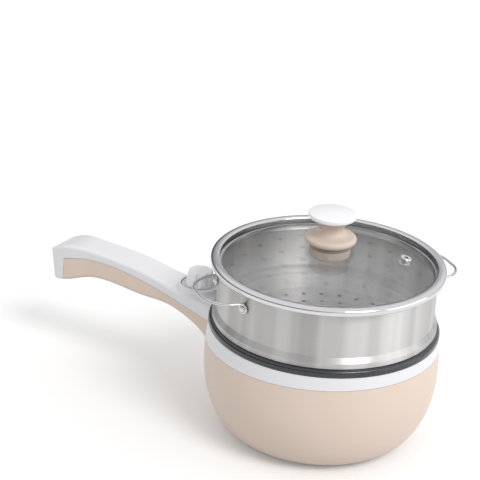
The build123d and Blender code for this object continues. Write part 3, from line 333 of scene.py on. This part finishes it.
def turned_ring(name, section, centre=(0.0, 0.0), steps=192):
    """Closed ring about an upright axis: a circle drawn out from point to point of its section."""
    bpy.ops.object.select_all(action="DESELECT")
    radius, height = section[0]
    bpy.ops.mesh.primitive_circle_add(vertices=steps, radius=radius, location=(*centre, height))
    piece = bpy.context.object
    piece.name = name
    bpy.ops.object.transform_apply(location=True)
    bpy.ops.object.mode_set(mode="EDIT")
    draw_out(section + section[:1], centre)
    bpy.ops.mesh.select_all(action="SELECT")
    bpy.ops.mesh.remove_doubles(threshold=0.000005)
    bpy.ops.mesh.normals_make_consistent(inside=False)
    bpy.ops.object.mode_set(mode="OBJECT")
    bpy.ops.object.shade_smooth_by_angle(angle=math.radians(40.0))
    return piece


dial_centre = (-0.127, 0.0)
# A black rubber seal fills the gap between the recess ring and the turret wall. Its black is painted shade: the
# dark line of the shadow in that gap.
shade_seal = turned_ring("dial_shade_seal", [
    (0.01655, 0.10022), (0.01665, 0.10130), (0.01680, 0.10150), (0.01710, 0.10150), (0.01725, 0.10130),
    (0.01735, 0.10022),
], dial_centre, 96)
shade_seal.data.materials.append(rubber.material)
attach(shade_seal, "pot")

# ---- Dial knob ------------------------------------------------------------------------------
# The fluted knob is a white moulding, pushed on the flat of the switch's steel shaft. The two
# turn together in the turret.
# This white is written brighter than the frame's. The extra brightness is painted light that makes up for the
# shade the steamer casts on the knob.
dial_white = moulded("dial_white", paint(249, 249, 250), paint(244, 244, 246), 0.3)
dress(dial_white, "control_knob")
dress(screw_steel, "switch_shaft")

# ---- Supply inlet ---------------------------------------------------------------------------
# The inlet in the handle's end takes the supply connector: a dark housing with three plated
# pins.
inlet_dark = moulded("inlet_housing", paint(44, 44, 46), paint(34, 34, 36), 0.45)
dress(inlet_dark, "inlet_housing")
plated = metal("plated_pins", paint(222, 218, 206), paint(198, 192, 178), 0.2, 500.0)
dress(plated, "inlet_pins")

# ---- Steamer basket -------------------------------------------------------------------------
# The basket is drawn from stainless sheet: a rolled rim, a straight wall brushed round and
# round, a bead that rests on the pot's rim and a skirt that holds the perforated floor.
brushed = Finish("brushed_steel")
stroke = brushed.rings(1500.0)
drift = brushed.grain(9.0)
# Broad light and dark bands that change only with the direction round the axis. In the roughness they are the
# drift of brush pressure. In the base colour they are painted reflections: the vertical fans that brushed steel
# shows.
pressure_and_painted_reflection = brushed.step(brushed.fans(4.0), 0.30, 0.70)
brushed.surface({
    # The base colour carries the painted reflection bands.
    "Base Color": brushed.blend(stroke * 0.3 + pressure_and_painted_reflection * 0.7, paint(174, 173, 171), paint(225, 224, 223)),
    "Metallic": 1.0,
    "Roughness": stroke * 0.08 + pressure_and_painted_reflection * 0.06 + drift * 0.04 + 0.36,
    "Normal": brushed.bump(stroke, 0.000004),
    "Anisotropic": 0.85,
    "Anisotropic Rotation": 0.25,
})
dress(brushed, "steamer_basket")
grille = metal("grille_steel", paint(214, 213, 212), paint(194, 193, 192), 0.34, 260.0)
dress(grille, "steamer_floor")

# ---- Steamer's wire handles -----------------------------------------------------------------
# Each handle is one bent stainless wire with an eye at each end, riveted through the wall.
wire = metal("polished_wire", paint(216, 215, 214), paint(196, 196, 197), 0.10, 400.0, 0.05)
dress(wire, "steamer_handle_left", "steamer_handle_right", "steamer_rivets")

# ---- Lid ------------------------------------------------------------------------------------
# Tempered glass, pressed to a low dome, in a polished steel band. A steel eyelet makes the
# steam vent.
glass = Finish("lid_glass")
haze = glass.grain(30.0)
glass.surface({
    "Base Color": glass.blend(haze, paint(250, 252, 252), paint(253, 254, 254)),
    "Roughness": 0.0,
    "Transmission Weight": 1.0,
    "IOR": 1.46,
    "Alpha": 0.2,
})
dress(glass, "lid_glass")
band = Finish("polished_band")
turned = band.rings(1200.0)
band.surface({
    "Base Color": band.blend(turned, paint(206, 206, 208), paint(224, 224, 225)),
    "Metallic": 1.0,
    "Roughness": turned * 0.05 + 0.08,
    "Normal": band.bump(turned, 0.000002),
})
dress(band, "vent_grommet")


rolled_band = turned_ring("lid_rim_band_rolled", [
    (0.0932, 0.15992), (0.0930, 0.16030), (0.0932, 0.16064), (0.0937, 0.16082), (0.0945, 0.16096),
    (0.0955, 0.16108), (0.0966, 0.16112), (0.0977, 0.16104), (0.0987, 0.16082), (0.0996, 0.16044),
    (0.1003, 0.15992), (0.1008, 0.15920), (0.1010, 0.15840), (0.1010, 0.15640), (0.1008, 0.15570),
    (0.1004, 0.15524), (0.0998, 0.15510), (0.0922, 0.15510), (0.0918, 0.15500), (0.0916, 0.15470),
    (0.0916, 0.15060), (0.0915, 0.15022), (0.0912, 0.15010), (0.0909, 0.15022), (0.0908, 0.15060),
    (0.0908, 0.15560), (0.0912, 0.15590), (0.1002, 0.15590), (0.1002, 0.15992),
])
rolled_band.data.materials.append(band.material)
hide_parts("lid_rim_band")
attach(rolled_band, "lid")

# ---- Lid knob -------------------------------------------------------------------------------
# The knob is a waisted beige moulding with a white cap pressed on top. A beige washer under
# the glass takes the screw that pulls the two together.
knob_beige = moulded("knob_beige", paint(217, 201, 189), paint(210, 193, 180), 0.42)
dress(knob_beige, "lid_knob")
# The cap takes the same brightened white, which is painted light.
dress(dial_white, "lid_knob_cap")
washer_beige = moulded("washer_beige", paint(226, 212, 200), paint(218, 203, 190), 0.5)
dress(washer_beige, "lid_knob_washer")

# ---- Studio ---------------------------------------------------------------------------------
# A pale sweep under the object, a soft key and a box lamp from the right, and the room's own
# light. Reflections meet a bright room with a grey left side, a pale ceiling and a dark skirting.
bpy.ops.object.select_all(action="DESELECT")
bpy.ops.mesh.primitive_plane_add(size=12.0, location=(0.0, 0.0, 0.0))
floor = bpy.context.object
floor.name = "studio_floor"
sweep = Finish("studio_floor")
sweep.surface({
    "Base Color": sweep.blend(sweep.seen(), paint(205, 205, 205), paint(247, 247, 247)),
    "Roughness": 0.9,
    "Specular IOR Level": 0.1,
    "Emission Color": sweep.blend(sweep.seen(), (0.0, 0.0, 0.0, 1.0), (1.0, 1.0, 1.0, 1.0)),
    "Emission Strength": 0.10,
})
floor.data.materials.append(sweep.material)

world = bpy.data.worlds.new("studio")
bpy.context.scene.world = world
world.use_nodes = True
room = Nodes(world.node_tree)
view = room.node("ShaderNodeTexCoord", output="Generated")
rise = room.node("ShaderNodeSeparateXYZ", sockets={0: view}, output="Z")
side = room.node("ShaderNodeVectorMath", {"operation": "DOT_PRODUCT"}, {0: view, 1: (0.9, 0.44, 0.0)}, "Value")
bright = room.step(side, -0.35, 0.45)
skirting = room.step(rise, -0.02, 0.04) * (1 - room.step(rise, 0.20, 0.34))
shine = room.blend(bright, paint(150, 150, 152), paint(255, 255, 255))
shine = room.blend(room.step(rise, 0.36, 0.62), shine, paint(250, 250, 252))
shine = room.blend(skirting * (0.85 - bright * 0.5), shine, paint(40, 40, 42))
light = room.blend(room.seen(), (0.74, 0.74, 0.74, 1.0), (1.0, 1.0, 1.0, 1.0))
glossy = room.node("ShaderNodeLightPath", output="Is Glossy Ray")
room.feed(world.node_tree.nodes["Background"].inputs["Color"], room.blend(glossy, light, shine))

key_from = (0.92, -0.36, 1.06)
bpy.ops.object.light_add(type="SUN", location=key_from)
key = bpy.context.object
key.name = "key_right"
key.data.angle = math.radians(24.0)
key.data.energy = 1.15
key.rotation_euler = Vector(key_from).to_track_quat("Z", "Y").to_euler()
bpy.ops.object.light_add(type="AREA", location=(1.62, 0.55, 0.62))
soft_box = bpy.context.object
soft_box.name = "box_right"
soft_box.data.shape = "RECTANGLE"
soft_box.data.size = 1.5
soft_box.data.size_y = 1.1
soft_box.data.energy = 6.0
soft_box.rotation_euler = Vector((1.62, 0.55, 0.45)).to_track_quat("Z", "Y").to_euler()

azimuth = math.radians(30.0)
elevation = math.radians(23.24)
roll = math.radians(3.51)
distance = 1.5273
target = Vector((-0.06635, -0.03831, 0.17389))
back = Vector((
    math.sin(azimuth) * math.cos(elevation),
    -math.cos(azimuth) * math.cos(elevation),
    math.sin(elevation),
))
right = Vector((math.cos(azimuth), math.sin(azimuth), 0.0))
up = back.cross(right)
turned_right = right * math.cos(roll) + up * math.sin(roll)
turned_up = up * math.cos(roll) - right * math.sin(roll)
bpy.ops.object.camera_add()
camera = bpy.context.object
camera.data.sensor_width = 36.0
camera.data.lens = 135.0
camera.data.clip_end = 50.0
camera.matrix_world = Matrix.Translation(target + back * distance) @ Matrix(
    (turned_right, turned_up, back)
).transposed().to_4x4()
bpy.context.scene.camera = camera
bpy.context.scene.view_settings.view_transform = "Standard"
